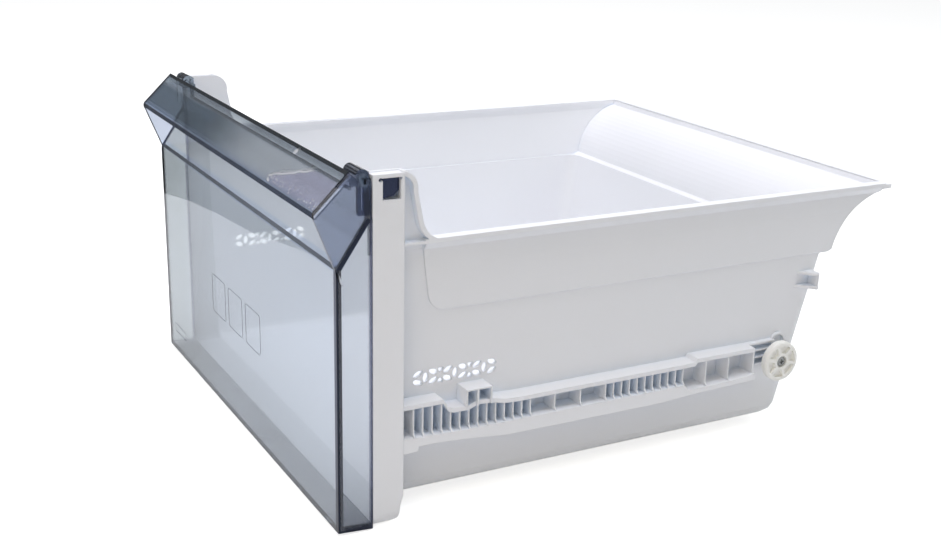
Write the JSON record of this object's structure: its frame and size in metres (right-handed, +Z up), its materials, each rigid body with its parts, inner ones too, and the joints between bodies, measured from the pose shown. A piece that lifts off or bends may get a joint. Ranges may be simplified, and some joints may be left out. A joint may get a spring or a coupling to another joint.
{
  "type": "freezer drawer",
  "caption": "White moulded freezer tub with ribbed side rails and rear rollers, closed in front by a smoked clear panel and grip.",
  "frame": {"origin": "middle of the width and of the depth, at the height of the frame's underside", "axes": "+Z up, -Y towards the smoked front panel, +X to the right-hand side as seen from the front"},
  "size_m": [0.37, 0.4542, 0.2308],
  "materials": {
    "white_plastic": "satin, faintly cool white",
    "smoked_plastic": "clear grey smoked sheet, polished",
    "roller_plastic": "matt, slightly yellowed natural plastic",
    "screw_steel": "dull plated steel"
  },
  "bodies": {
    "drawer": {"tub": "white_plastic", "front_panel": "smoked_plastic", "handle_cover": "smoked_plastic", "roller_screw_left": "screw_steel", "roller_screw_right": "screw_steel"},
    "wheel_left": {"roller_left": "roller_plastic"},
    "wheel_right": {"roller_right": "roller_plastic"}
  },
  "joints": [
    {"name": "roller_left_spin", "type": "hinge", "parent": "drawer", "child": "wheel_left", "pos_m": [-0.18, 0.1337, 0.0584], "axis": [1, 0, 0], "continuous": true},
    {"name": "roller_right_spin", "type": "hinge", "parent": "drawer", "child": "wheel_right", "pos_m": [0.18, 0.1337, 0.0584], "axis": [1, 0, 0], "continuous": true}
  ]
}
